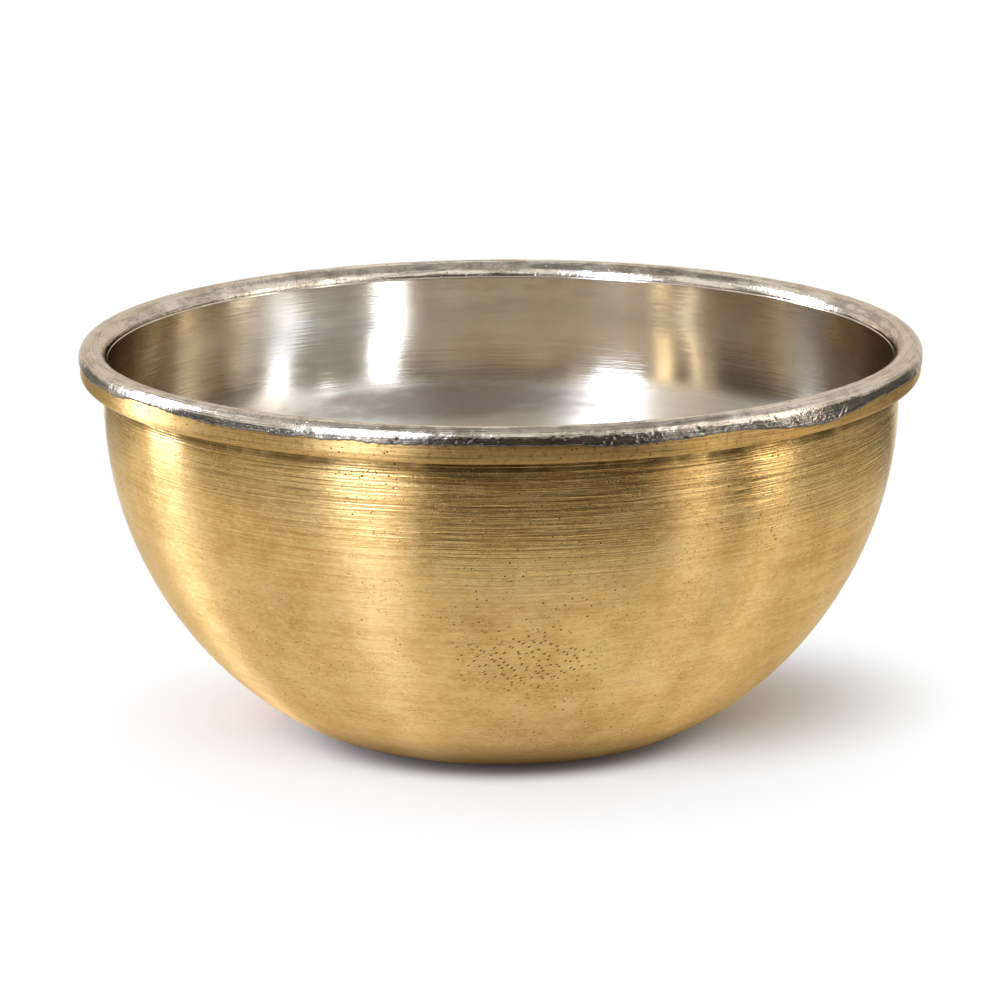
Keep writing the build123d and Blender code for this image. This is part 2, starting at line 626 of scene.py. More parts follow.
@dataclass(frozen=True)
class BrushedBrass:
    """Brass turned and brushed round the axis, with tarnish, grime in the grooves, painted shade under the
    bead and at the foot, painted glints on scored lines, and scattered pits.
    """

    light: Color = (0.79, 0.525, 0.20)
    dark: Color = (0.50, 0.275, 0.075)
    # Pale tone, also used to paint glints on the scored lines
    pale_and_glint: Color = (0.82, 0.58, 0.27)
    # Grime, also used to paint shade under the bead and at the foot
    grime_and_shade: Color = (0.12, 0.064, 0.019)
    hole: Color = (0.05, 0.022, 0.006)
    edge: Color = (0.95, 0.86, 0.66)
    brushing: float = 1.0
    wander: Noise = (0.035, 1.0)
    wander_reach: float = 0.8
    climb_fade: Fade = (47.0, 34.0)
    climb_slope: float = -0.16
    fine: Strokes = (0.07, 5.4, 2.0)
    broad: Strokes = (0.09, 2.2, 2.0)
    grain: Strokes = (1.1, 2.8, 3.0)
    turned: Strokes = (0.03, 3.2, 2.0)
    bands: Strokes = (0.03, 0.35, 2.0)
    level: Strokes = (0.12, 3.6, 3.0)
    scores: Strokes = (0.06, 4.4, 2.0)
    mottle: Noise = (0.075, 4.0, 0.55)
    clouds: Noise = (0.22, 5.0, 0.65)
    sheen: Noise = (0.09, 2.0)
    groove_noise: Noise = (0.25, 3.0)
    blotch_noise: Noise = (1.4, 4.0, 0.65)
    upper_fade: Fade = (26.0, 46.0)
    quiet_fade: Fade = (-30.0, -46.0)
    cloud_dark: Fade = (0.52, 0.34, 0.30)
    cloud_pale: Fade = (0.50, 0.66, 0.35)
    sheen_pale: Fade = (0.52, 0.75, 0.3)
    grain_dark: Fade = (0.49, 0.33, 0.32)
    grain_pale: Fade = (0.52, 0.68, 0.50)
    top_fade: Fade = (37.0, 51.0, 0.6)
    score_dark: Fade = (0.54, 0.66)
    score_glint: Fade = (0.43, 0.33)
    groove_fade: Fade = (0.15, 0.60, 0.8)
    blotch_fade: Fade = (0.52, 0.68, 0.4)
    # Painted shade near the foot: the level where it starts, the level where it is full, and its most
    foot_painted_shade: Fade = (8.5, 1.0, 0.75)
    tarnish: Sum = (-0.58, 1.2, 0.5)
    streaks: Sum = (-1.9, 2.6, 1.2)
    busy: Sum = (1.0, -0.65)
    lined: Sum = (0.34, 0.66)
    rough: Sum = (0.18, -0.09, 0.14, 0.14, 0.15, 0.22)
    weight: Sum = (0.25, 0.75)
    relief: Sum = (0.0, 1.6, 1.0, -1.0)
    hole_share: float = 0.9
    bead_share: float = 0.25
    turned_depth: float = 0.055 * MM
    grain_depth: float = 0.010 * MM
    pit_depth: float = 0.02 * MM
    holes: Scatter = Scatter(0.9, 0.15, 0.06, (0.45, 0.60))
    specks: Scatter = Scatter(1.9, 0.21, 0.16, (0.40, 0.56, 0.7))
    dash_slope: float = math.radians(33.0)
    dash_cells: Pair = (0.60, 1.35)
    dash_size: float = 0.18
    dash_scatter: float = 0.75
    dash_edge: Noise = (0.45, 2.0)
    dash_oval: Oval = Oval((3.1, 22.4), (12.0, 6.2))
    front_fade: Fade = (0.0, -10.0)

    def material(self) -> bpy.types.Material:
        """Return the finish: ring-wise strokes on (x, y, length along the outline) and pits on the place."""
        g = Graph("brushed_brass")
        place = g.object_mm()
        x, y, z = g.split(place)
        along = g.trace(Trace.ALONG)
        upper = g.rise(z, *self.upper_fade)

        # Strokes climb to the right on the lower right side, and wander a little everywhere
        climb = g.times(g.most(x, 0.0), g.rise(z, *self.climb_fade))
        wavy = g.math("MULTIPLY_ADD", g.noise(place, *self.wander), self.wander_reach, along)
        stroke = g.math("MULTIPLY_ADD", climb, self.climb_slope, wavy)
        kinds = (self.fine, self.broad, self.grain)
        fine, broad, grain = (g.strokes((x, y, stroke), *kind) for kind in kinds)
        kinds = (self.turned, self.bands, self.level)
        turned, bands, level = (g.strokes((x, y, along), *kind) for kind in kinds)
        scores = g.strokes((x, y, wavy), *self.scores)

        # Tarnish in soft patches and bands, with turned lines in the upper third, fewer at the far left
        mottle = g.noise(place, *self.mottle)
        busy = g.total(self.busy, g.rise(x, *self.quiet_fade))
        lined = g.times(g.total(self.lined, upper), busy)
        streaks = g.total(self.streaks, turned, fine)
        shade = g.math("MULTIPLY_ADD", lined, streaks, g.total(self.tarnish, mottle, bands))
        color = g.mix(g.most(shade, 0.0), self.light, self.dark)
        clouds = g.noise(place, *self.clouds)
        for value, fade, tint in (
            (clouds, self.cloud_dark, self.dark),
            (clouds, self.cloud_pale, self.pale_and_glint),
            (g.noise(place, *self.sheen), self.sheen_pale, self.pale_and_glint),
            (grain, self.grain_dark, self.dark),
            (grain, self.grain_pale, self.pale_and_glint),
        ):
            color = g.mix(g.rise(value, *fade), color, tint)
        # Scored lines high on the wall: dark ones with grime, pale ones as painted glints where facets would
        # catch the light
        top = g.times(g.rise(z, *self.top_fade), busy)
        for fade, tint in ((self.score_dark, self.grime_and_shade), (self.score_glint, self.pale_and_glint)):
            color = g.mix(g.times(g.rise(scores, *fade), top), color, tint)

        # Pits: specks and larger holes in places, and rows of short dashes low on the front
        pits = g.most(g.scattered(place, self.specks), self.dash_rows(g, (x, y, z), along))
        pits = g.most(g.scattered(place, self.holes), pits)
        color = g.mix(g.times(pits, self.hole_share), color, self.hole)

        # Grime in the grooves under the bead with painted shade over the band under the bead, painted shade
        # at the foot, and blotches on the bare part of the bead
        groove = g.rise(g.noise(place, *self.groove_noise), *self.groove_fade)
        color = g.mix(g.times(g.trace(Trace.GRIME_AND_SHADE), groove), color, self.grime_and_shade)
        bead = g.trace(Trace.BEAD)
        color = g.mix(g.times(bead, self.bead_share), color, self.dark)
        blotch = g.times(bead, g.rise(g.noise(place, *self.blotch_noise), *self.blotch_fade))
        color = g.mix(blotch, color, self.grime_and_shade)
        # Painted shade: darker towards the foot, standing in for the floor's contact shadow seen in the brass
        color = g.mix(g.rise(z, *self.foot_painted_shade), color, self.grime_and_shade)

        rough = g.total(self.rough, upper, broad, mottle, pits, bead)
        weight = g.times(g.total(self.weight, upper), busy)
        normal = g.bumps(
            (g.times(g.total(self.relief, turned, level, scores), weight), self.turned_depth),
            (grain, self.grain_depth),
            (g.math("SUBTRACT", 1.0, pits), self.pit_depth),
        )
        return g.dress(color, rough, normal, self.brushing, self.edge)

    def dash_rows(self, g: Graph, place: tuple[Socket, ...], along: Socket) -> Socket:
        """Return rows of short dashes that climb to the right, in one patch low on the front.

        Args:
            g: the material's graph.
            place: place across, back and up, in millimetres.
            along: length along the outline, in millimetres.

        Returns:
            The value's socket, 1 in a dash.
        """
        x, y, z = place
        sine, cosine = math.sin(self.dash_slope), math.cos(self.dash_slope)
        long, short = self.dash_cells
        run = g.total((0.0, long * cosine, long * sine), x, along)
        rise = g.total((0.0, -short * sine, short * cosine), x, along)
        rows = g.dots(g.vector(run, rise, 0.0), 1.0, self.dash_size, self.dash_scatter, True)
        patch = g.patch(x, z, self.dash_oval, g.noise(g.vector(x, z, 0.0), *self.dash_edge))
        return g.times(rows, g.times(patch, g.rise(y, *self.front_fade)))


@dataclass(frozen=True)
class WipedTin:
    """Tin wiped thin on the inside: warm where the brass shows through, clean grey low down."""

    warm: Color = (0.62, 0.55, 0.435)
    clean: Color = (0.61, 0.60, 0.56)
    stain: Color = (0.43, 0.365, 0.27)
    # Colour of the tide near the top and of the painted dark reflection low on the back
    tide_and_dark_reflection: Color = (0.27, 0.215, 0.175)
    cool: Color = (0.42, 0.425, 0.40)
    edge: Color = (0.85, 0.79, 0.70)
    brushing: float = 0.65
    fine: Strokes = (0.06, 2.6, 2.0)
    broad: Strokes = (0.02, 0.35, 2.0)
    marks: Strokes = (0.1, 0.35, 4.0)
    dark_reflection_ragged: Strokes = (0.2, 0.7, 2.0, 0.5)
    mottle: Noise = (0.09, 4.0, 0.55)
    swell: Noise = (0.08, 1.0)
    clean_spot: Point = (-25.0, 50.0, 42.0)
    spot_fade: Fade = (26.0, 8.0)
    low_fade: Fade = (36.0, 22.0)
    back_fade: Fade = (0.0, 10.0)
    cool_oval: Oval = Oval((-28.0, 46.0), (13.0, 6.0))
    # Oval of painted dark reflection low on the back
    dark_reflection_oval: Oval = Oval((-8.0, 36.6), (20.0, 2.4), 1.7)
    tide_level: Fade = (48.5, 54.0)
    tide_fade: Fade = (0.48, 0.68, 0.5)
    satin_fade: Fade = (41.5, 37.5)
    drift: Sum = (-15.0, 30.0, 1.0)
    shade: Sum = (-0.75, 1.2, 0.7)
    rough: Sum = (0.10, 0.08, 0.10, 0.18)
    relief: Sum = (0.0, 0.7, 1.0)
    cool_share: float = 0.6
    tide_and_reflection_share: float = 0.7
    stroke_depth: float = 0.02 * MM
    swell_depth: float = 0.015 * MM

    def material(self) -> bpy.types.Material:
        """Return the finish: wiping marks round the axis, clean grey low down and in a spot, soft stains, a
        dark tide near the top, and a painted dark reflection low on the back.
        """
        g = Graph("wiped_tin")
        place = g.object_mm()
        x, y, z = g.split(place)
        along = g.trace(Trace.ALONG)
        fine, broad = (g.strokes((x, y, along), *kind) for kind in (self.fine, self.broad))
        marks, dark_reflection_ragged = (g.strokes((x, y, z), *kind) for kind in (self.marks, self.dark_reflection_ragged))
        mottle = g.noise(place, *self.mottle)

        low = g.rise(g.total(self.drift, mottle, z), *self.low_fade)
        wiped = g.most(low, g.rise(g.distance(place, self.clean_spot), *self.spot_fade))
        color = g.mix(wiped, self.warm, self.clean)
        color = g.mix(g.most(g.total(self.shade, mottle, broad), 0.0), color, self.stain)
        back = g.rise(y, *self.back_fade)
        cool = g.times(g.patch(x, z, self.cool_oval, marks), back)
        color = g.mix(g.times(cool, self.cool_share), color, self.cool)
        # A dark streaky tide near the top, and low on the back an oval of painted dark reflection, both in
        # one colour
        tide = g.times(g.rise(z, *self.tide_level), g.rise(marks, *self.tide_fade))
        tide_and_dark_reflection = g.most(g.times(g.patch(x, z, self.dark_reflection_oval, dark_reflection_ragged), back), tide)
        color = g.mix(g.times(tide_and_dark_reflection, self.tide_and_reflection_share), color, self.tide_and_dark_reflection)

        satin = g.times(g.rise(z, *self.satin_fade), back)
        rough = g.total(self.rough, mottle, tide_and_dark_reflection, satin)
        normal = g.bumps(
            (g.total(self.relief, fine, broad), self.stroke_depth),
            (g.noise(place, *self.swell), self.swell_depth),
        )
        return g.dress(color, rough, normal, self.brushing, self.edge)


@dataclass(frozen=True)
class RunTin:
    """Heavier tin that ran over the rim: smooth on the crown, dark and pitted towards its margin."""

    light: Color = (0.80, 0.71, 0.59)
    dull: Color = (0.45, 0.38, 0.295)
    oxide: Color = (0.12, 0.118, 0.12)
    edge: Color = (0.82, 0.74, 0.63)
    scratches: Strokes = (0.10, 5.0, 3.0)
    streaks: Strokes = (0.06, 1.3, 3.0)
    mottle: Noise = (0.30, 4.0, 0.6)
    grain: Noise = (1.6, 3.0, 0.6)
    margin_noise: Noise = (0.22, 2.0)
    lumps: Noise = (0.9, 3.0, 0.6)
    lump_patches: Noise = (0.12, 2.0)
    dull_fade: Fade = (0.92, 1.22)
    side_dull_fade: Fade = (20.0, 56.0, 0.55)
    scratch_fade: Fade = (0.52, 0.62, 0.5)
    oxide_fade: Fade = (0.0, -1.0, 0.5)
    rim_fade: Fade = (0.40, 0.15, 0.9)
    lump_fade: Fade = (3.2, 0.8)
    lump_patch_fade: Fade = (0.45, 0.62)
    pits: Scatter = Scatter(1.1, 0.16, 0.3, (0.38, 0.54))
    specks: Scatter = Scatter(1.7, 0.17, 0.2, (0.40, 0.56, 0.7))
    oxide_edge: Sum = (0.0, 1.0, -1.6, -1.2)
    rough: Sum = (0.07, 0.10, 0.12)
    relief: Sum = (0.0, 0.9, 1.0)
    pit_share: float = 0.85
    lump_depth: float = 0.10 * MM
    scratch_depth: float = 0.045 * MM
    pit_depth: float = 0.06 * MM

    def material(self) -> bpy.types.Material:
        """Return the finish: soft patches on the crown, oxide that thickens towards the margin, pits."""
        g = Graph("run_tin")
        place = g.object_mm()
        margin = g.trace(Trace.MARGIN)
        x, y, z = g.split(place)
        across = g.math("SUBTRACT", z, g.distance(g.vector(x, y, 0.0)))
        scratches, streaks = (g.strokes((x, y, across), *kind) for kind in (self.scratches, self.streaks))
        mottle, grain = (g.noise(place, *kind) for kind in (self.mottle, self.grain))

        color = g.mix(g.rise(g.math("ADD", mottle, streaks), *self.dull_fade), self.light, self.dull)
        # Duller towards the left and right sides, as seen from the front
        color = g.mix(g.rise(g.math("ABSOLUTE", x), *self.side_dull_fade), color, self.dull)
        color = g.mix(g.rise(scratches, *self.scratch_fade), color, self.oxide)
        edge = g.total(self.oxide_edge, margin, g.noise(place, *self.margin_noise), grain)
        oxide = g.most(g.rise(edge, *self.oxide_fade), g.rise(margin, *self.rim_fade))
        color = g.mix(oxide, color, self.oxide)
        pits = g.most(g.scattered(place, self.pits), g.scattered(place, self.specks))
        color = g.mix(g.times(pits, self.pit_share), color, self.oxide)

        lumps = g.times(g.noise(place, *self.lumps), g.rise(margin, *self.lump_fade))
        lumps = g.times(lumps, g.rise(g.noise(place, *self.lump_patches), *self.lump_patch_fade))
        normal = g.bumps(
            (lumps, self.lump_depth),
            (g.total(self.relief, scratches, grain), self.scratch_depth),
            (g.math("SUBTRACT", 1.0, pits), self.pit_depth),
        )
        return g.dress(color, g.total(self.rough, mottle, oxide), normal, edge=self.edge)


@dataclass(frozen=True)
class DrawnIron:
    """Dull drawn iron of the wire inside the rim."""

    light: Color = (0.30, 0.28, 0.26)
    scale: Color = (0.12, 0.10, 0.09)
    patches: Noise = (0.8, 4.0, 0.6)
    scale_fade: Fade = (0.4, 0.62)
    rough: Sum = (0.35, 0.3)
    depth: float = 0.03 * MM

    def material(self) -> bpy.types.Material:
        """Return the finish: patches of dark scale on grey iron."""
        g = Graph("drawn_iron")
        patches = g.noise(g.object_mm(), *self.patches)
        color = g.mix(g.rise(patches, *self.scale_fade), self.light, self.scale)
        return g.dress(color, g.total(self.rough, patches), g.bumps((patches, self.depth)))


def set_in_frame(piece: bpy.types.Object, finish: Finish, node: Node) -> bpy.types.Object:
    """Give a new piece its finish and its place in the frame.

    Args:
        piece: the piece.
        finish: what it is made of.
        node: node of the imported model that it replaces.

    Returns:
        The piece.
    """
    piece.data.materials.append(finish.material())
    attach(piece, "root")
    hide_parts(node.value)
    return piece


@dataclass
class BrassShell:
    """The bowl itself: base, belly, grooved wall, neck and rolled bead in one sheet."""

    sizes: BowlSizes
    columns: int = 320
    grooves: Numbers = (0.35 * MM, 0.8 * MM, 1.15 * MM, 1.55 * MM, 1.95 * MM)
    groove_depth: float = 0.05 * MM
    groove_width: float = 0.12 * MM
    groove_wear: Ripples = Ripples(20, (1, 14), count=12)
    groove_worn: Numbers = (0.75, 0.25, 1.0)
    # Where the painted shade under the bead starts and where it is full
    under_bead_shade_start: float = 0.4 * MM
    under_bead_shade_full: float = 1.3 * MM
    bead_fade: Pair = (0.2 * MM, 0.4 * MM)
    dent: float = 0.035 * MM
    dent_sink: float = 2.0
    dents: Ripples = Ripples(11, (1, 9), (30 * MM, 90 * MM), 18)
    wave: float = 0.006 * MM
    waves: Ripples = Ripples(12, (0, 6), (2.5 * MM, 7 * MM), 18)
    finish: BrushedBrass = field(default_factory=BrushedBrass)

    def outline(self) -> Outline:
        """Return the closed outline: under the base, up the outside, round the bead and down the inside."""
        s = self.sizes
        bead, crown, curl = s.bead_radius, s.crown_level, s.curl_level
        inner, outer = s.bend_inside, s.bend_outside
        lip = s.wall_radius + s.lip_clearance
        inside = [stretch.back() for stretch in reversed(s.side(s.sheet, (8, 14, 3, 3, 3)))]
        return Outline.join(
            [Straight((0.0, 0.0), (s.base_radius, 0.0), 4)]
            + s.side(0.0, (22, 56, 60, 5, 5))
            + [
                Straight((bead - inner, s.neck_top), (bead - inner, crown), 2),
                Arc((bead, crown), inner, math.pi, -math.pi, 6),
                Straight((bead + inner, crown), (bead + inner, curl), 2),
                Arc((bead, curl), inner, 0.0, -QUARTER, 4),
                Straight((bead, curl - inner), (lip, curl - inner), 2),
                Straight((lip, curl - inner), (lip, curl - outer), 2),
                Straight((lip, curl - outer), (bead, curl - outer), 3),
                Arc((bead, curl), outer, -QUARTER, QUARTER, 12),
                Straight((bead + outer, curl), (bead + outer, crown), 8),
                Arc((bead, crown), outer, 0.0, math.pi, 12),
                Straight((bead - outer, crown), (bead - outer, s.neck_top), 3),
            ]
            + inside
            + [Straight((s.base_radius, s.sheet), (0.0, s.sheet), 3)]
        )

    def build(self) -> bpy.types.Object:
        """Carry the outline round the axis, with dents, turning waves and grooves pressed into the outside.

        Returns:
            The brass piece, dressed.
        """
        line = self.outline()
        base_end, belly_end, wall_end, upright_end, _, neck_end = line.marks[:6]
        lip_end, flank_end = line.marks[12], line.marks[14]
        azimuth, along = azimuths(self.columns), line.length[:, None]
        outside = smooth_step(along, base_end, belly_end) * smooth_step(along, upright_end, wall_end)
        dents, waves = self.dents.over(azimuth, along), self.waves.over(azimuth, along)
        height = outside * (self.dent * (dents - self.dent_sink) + self.wave * waves)
        groove = np.zeros_like(height)
        for place, start in enumerate(self.grooves):
            wear = replace(self.groove_wear, seed=self.groove_wear.seed + place).over(azimuth, 0.0 * along)
            cut = np.exp(-(((along - wall_end - start) / self.groove_width) ** 2))
            groove = np.maximum(groove, cut * uneven(wear, *self.groove_worn))
        radius, level = line.lift(height - self.groove_depth * groove)
        below, above = self.bead_fade
        bead = smooth_step(along, lip_end - below, lip_end)
        bead = bead * smooth_step(along, flank_end + above, flank_end)
        # Painted shade: from just above the foot of the upright stretch up to the neck, the band under the
        # overhanging bead joins the grime in the grooves
        under_bead_shade = smooth_step(along, wall_end + self.under_bead_shade_start, wall_end + self.under_bead_shade_full)
        grime_and_shade = np.maximum(groove, under_bead_shade * (along <= neck_end))
        traces = {Trace.ALONG: along / MM, Trace.GRIME_AND_SHADE: grime_and_shade, Trace.BEAD: bead}
        piece = ring_mesh("brass_shell_turned", radius, level, False, traces)
        return set_in_frame(piece, self.finish, Node.BRASS_SHELL)


@dataclass
class TinLining:
    """The thin tin skin on the whole inside."""

    sizes: BowlSizes
    columns: int = 320
    wave: float = 0.012 * MM
    waves: Ripples = Ripples(31, (1, 12), (8 * MM, 40 * MM), 24)
    face_top: float = 55.2 * MM
    face_fade: float = 3 * MM
    finish: WipedTin = field(default_factory=WipedTin)

    def outline(self) -> Outline:
        """Return the closed outline, out along the brass and back along the tin's face.

        The tin fills the hollow of the neck, so its face runs straight up and ends under the rim's tin.

        Returns:
            The outline.
        """
        s = self.sizes
        mouth = s.bead_radius - s.bend_outside
        top, depth = s.mouth_level, s.sheet + s.lining
        wall = s.wall_radius - depth
        upright = Straight((wall, s.neck_bottom), (wall, self.face_top), 6)
        face = s.side(depth, (30, 80, 8, 2, 2))[:3] + [upright]
        return Outline.join(
            [Straight((0.0, s.sheet), (s.base_radius, s.sheet), 4)]
            + s.side(s.sheet, (8, 14, 3, 3, 3))
            + [
                Straight((mouth, s.neck_top), (mouth, top), 2),
                Straight((mouth, top), (wall, self.face_top), 3),
            ]
            + [stretch.back() for stretch in reversed(face)]
            + [Straight((s.base_radius, depth), (0.0, depth), 10)]
        )

    def build(self) -> bpy.types.Object:
        """Carry the outline round the axis and wipe shallow waves into the tin's face.

        Returns:
            The lining piece, dressed.
        """
        line = self.outline()
        azimuth, along = azimuths(self.columns), line.length[:, None]
        face_start, floor_start = line.marks[8], line.marks[-2]
        face = smooth_step(along, face_start, face_start + self.face_fade)
        face = face * smooth_step(along, line.length[-1], floor_start)
        radius, level = line.lift(face * self.wave * self.waves.over(azimuth, along))
        piece = ring_mesh("tin_lining_wiped", radius, level, False, {Trace.ALONG: along / MM})
        return set_in_frame(piece, self.finish, Node.TIN_LINING)


@dataclass(frozen=True)
class Flake:
    """A raised curl of tin that starts level and turns down towards its right end, in degrees and metres."""

    left: float = 49.0
    bend: float = 52.0
    right: float = 54.8
    left_fade: float = 0.8
    right_fade: float = 0.4
    start: float = 4.8 * MM
    fall: float = 1.1 * MM
    width: float = 0.22 * MM
    height: float = 0.12 * MM

    def ridge(self, azimuth: Array, along: Array) -> Array:
        """Return the ridge's height: a bell across a middle line that falls past the bend.

        Args:
            azimuth: azimuths of the grid.
            along: lengths along the outline.

        Returns:
            Heights on the grid.
        """
        degrees = np.degrees(azimuth)
        middle = self.start + self.fall * smooth_step(degrees, self.bend, self.right)
        ends = smooth_step(degrees, self.left, self.left + self.left_fade)
        ends = ends * smooth_step(degrees, self.right + self.right_fade, self.right)
        return self.height * ends * np.exp(-(((along - middle) / self.width) ** 2))


@dataclass
class RimTin:
    """The heavy tin over the crown of the bead, with a ragged margin outside, lumpy in front.

    Runs say where the margin hangs lower, or stops higher where they are negative. Lumpy places say where
    the coat is lumpy near the margin.
    """

    sizes: BowlSizes
    columns: int = 1440
    face_rows: int = 58
    crowding: float = 1.5
    back_rows: int = 7
    roll: float = 2.35 * MM
    thin: float = 0.06 * MM
    least: float = 0.04 * MM
    coat_rise: float = 3.0 * MM
    feather: float = 0.7 * MM
    sunk: float = 0.02 * MM
    lip: float = 0.3 * MM
    drop: float = 0.7 * MM
    ragged: float = 0.06 * MM
    fine_ragged: float = 0.7
    bays: Ripples = Ripples(41, (12, 60))
    nicks: Ripples = Ripples(42, (90, 330))
    lump: float = 0.06 * MM
    lump_fade: Pair = (2.6 * MM, 0.6 * MM)
    coarse: Ripples = Ripples(43, (20, 110), (2.5 * MM, 8 * MM))
    fine: Ripples = Ripples(44, (180, 420), (0.7 * MM, 2.0 * MM), 40)
    clump: Numbers = (0.35, 0.65, 1.6)
    pebble: Numbers = (0.6, 0.6, 2.0)
    soft: float = 0.012 * MM
    dimple: Numbers = (1.0, 0.6, 2.5)
    runs: tuple[Swell, ...] = (
        Swell(18.0, 7.0, 0.6 * MM),
        Swell(47.0, 10.0, 1.4 * MM),
        Swell(-54.0, 8.0, -0.5 * MM),
        Swell(-28.6, 1.0, 0.2 * MM),
        Swell(75.0, 10.0, 0.4 * MM),
        Swell(128.0, 9.0, 0.5 * MM),
        Swell(-140.0, 6.0, 0.6 * MM),
    )
    lumpy_all_round: float = 0.12
    lumpy: tuple[Swell, ...] = (
        Swell(4.0, 14.0, 1.0),
        Swell(30.0, 14.0, 0.9),
        Swell(48.0, 6.0, 0.6),
        Swell(150.0, 25.0, 0.7),
    )
    flake: Flake = field(default_factory=Flake)
    finish: RunTin = field(default_factory=RunTin)

    def outline(self) -> Outline:
        """Return the face under the tin: a wide roll from the lining up to the crown, then the bead."""
        s = self.sizes
        bead, outer = s.bead_radius, s.bend_outside
        return Outline.join(
            [
                Arc((bead, s.crown_level + outer - self.roll), self.roll, math.pi, -QUARTER, 90),
                Arc((bead, s.crown_level), outer, QUARTER, -QUARTER, 60),
                Straight((bead + outer, s.crown_level), (bead + outer, s.curl_level), 40),
                Arc((bead, s.curl_level), outer, 0.0, -QUARTER, 60),
            ]
        )

    def build(self) -> bpy.types.Object:
        """Lay tin along the bead up to a ragged margin, thick on the crown and rounded off at the margin.

        The margin is the mean drop plus runs plus random waves. Face rows crowd towards the margin, and
        stand off the brass by the coat's thickness times a quarter-circle falloff. Hollows between lumps
        thin the coat near the margin, mostly at the front.

        Returns:
            The rim's tin, dressed.
        """
        s = self.sizes
        line = self.outline()
        azimuth = azimuths(self.columns)
        flat = np.zeros((1, 1))
        margin = line.marks[1] + self.drop + sum(run.over(azimuth) for run in self.runs)
        margin = margin + self.ragged * self.bays.over(azimuth, flat)
        margin = margin + self.fine_ragged * self.ragged * self.nicks.over(azimuth, flat)
        share = np.linspace(0.0, 1.0, self.face_rows)[:, None]
        along = share * (self.crowding - (self.crowding - 1.0) * share) * margin
        left = margin - along

        near = smooth_step(left, *self.lump_fade)
        rough = np.clip(self.lumpy_all_round + sum(place.over(azimuth) for place in self.lumpy), 0.0, 1.0)
        coarse, fine = self.coarse.over(azimuth, along), self.fine.over(azimuth, along)
        clumps = uneven(coarse, *self.clump) * uneven(fine, *self.pebble)
        hollow = self.lump * near * rough * clumps + self.soft * uneven(coarse, *self.dimple)
        coat = self.thin + (s.rim_coat - self.thin) * smooth_step(along, 0.0, self.coat_rise)
        coat = np.clip(coat - hollow, self.least, s.rim_coat)
        edge = np.sqrt(1.0 - (1.0 - np.clip(left / self.lip, 0.0, 1.0)) ** 2)
        height = -self.sunk + (coat + self.sunk) * edge * smooth_step(along, 0.0, self.feather)
        height = height + self.flake.ridge(azimuth, along)

        behind = np.linspace(1.0, 0.0, self.back_rows)[:, None] * margin
        face = self.stand_off(line, along, height)
        back = self.stand_off(line, behind, np.full_like(behind, -2 * self.sunk))
        radius = np.minimum(np.concatenate([face[0], back[0]])[::-1], s.rim_radius)
        level = np.minimum(np.concatenate([face[1], back[1]])[::-1], s.height)
        trace = np.concatenate([left, np.zeros_like(behind)])[::-1]
        piece = ring_mesh("rim_tin_run", radius, level, True, {Trace.MARGIN: trace / MM})
        return set_in_frame(piece, self.finish, Node.RIM_TIN)

    @staticmethod
    def stand_off(line: Outline, along: Array, height: Array) -> tuple[Array, Array]:
        """Return radius and level at lengths along an outline, lifted off it.

        Args:
            line: the outline.
            along: lengths along it.
            height: distances off its face, to its left.

        Returns:
            Radii and levels.
        """
        parts = (line.radius, line.level, line.normal_radius, line.normal_level)
        radius, level, normal_radius, normal_level = (np.interp(along, line.length, part) for part in parts)
        return radius - height * normal_radius, level - height * normal_level


@dataclass
class RimWire:
    """The wire ring inside the bead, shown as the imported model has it."""

    finish: DrawnIron = field(default_factory=DrawnIron)

    def dress(self) -> bpy.types.Object:
        """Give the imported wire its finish."""
        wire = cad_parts[Node.RIM_WIRE.value]
        wire.data.materials.clear()
        wire.data.materials.append(self.finish.material())
        return wire


@dataclass(frozen=True)
class Lamp:
    """A soft box that faces the bowl."""

    name: str
    azimuth: float
    elevation: float
    width: float
    height: float
    radiance: float
    color: Color = WHITE
    distance: float = 0.8
    on_floor: float = 0.5

    def place(self, target: Vector) -> None:
        """Make the lamp, with a power of radiance times pi times its area.

        Args:
            target: point that the lamp faces.
        """
        light = bpy.data.lights.new(self.name, "AREA")
        light.shape = "RECTANGLE"
        light.size, light.size_y = self.width, self.height
        light.energy = self.radiance * math.pi * self.width * self.height
        light.color = self.color
        light.diffuse_factor = self.on_floor
        lamp = place_object(self.name, light)
        a, e = math.radians(self.azimuth), math.radians(self.elevation)
        away = Vector((math.sin(a) * math.cos(e), -math.cos(a) * math.cos(e), math.sin(e)))
        lamp.location = target + self.distance * away
        lamp.rotation_euler = away.to_track_quat("Z", "Y").to_euler()


def sheet_object(name: str, corners: Array, material: bpy.types.Material) -> bpy.types.Object:
    """Make a stage piece.

    Args:
        name: name of the piece.
        corners: grid of points, rows by columns by three.
        material: what it is made of.

    Returns:
        The new object, linked to the scene.
    """
    rows, columns, _ = corners.shape
    ids = np.arange(rows * columns).reshape(rows, columns)
    faces = np.stack([ids[:-1, :-1], ids[:-1, 1:], ids[1:, 1:], ids[1:, :-1]], axis=2).reshape(-1, 4)
    mesh = bpy.data.meshes.new(name)
    mesh.from_pydata(corners.reshape(-1, 3).tolist(), [], faces.tolist())
    mesh.materials.append(material)
    return place_object(name, mesh)


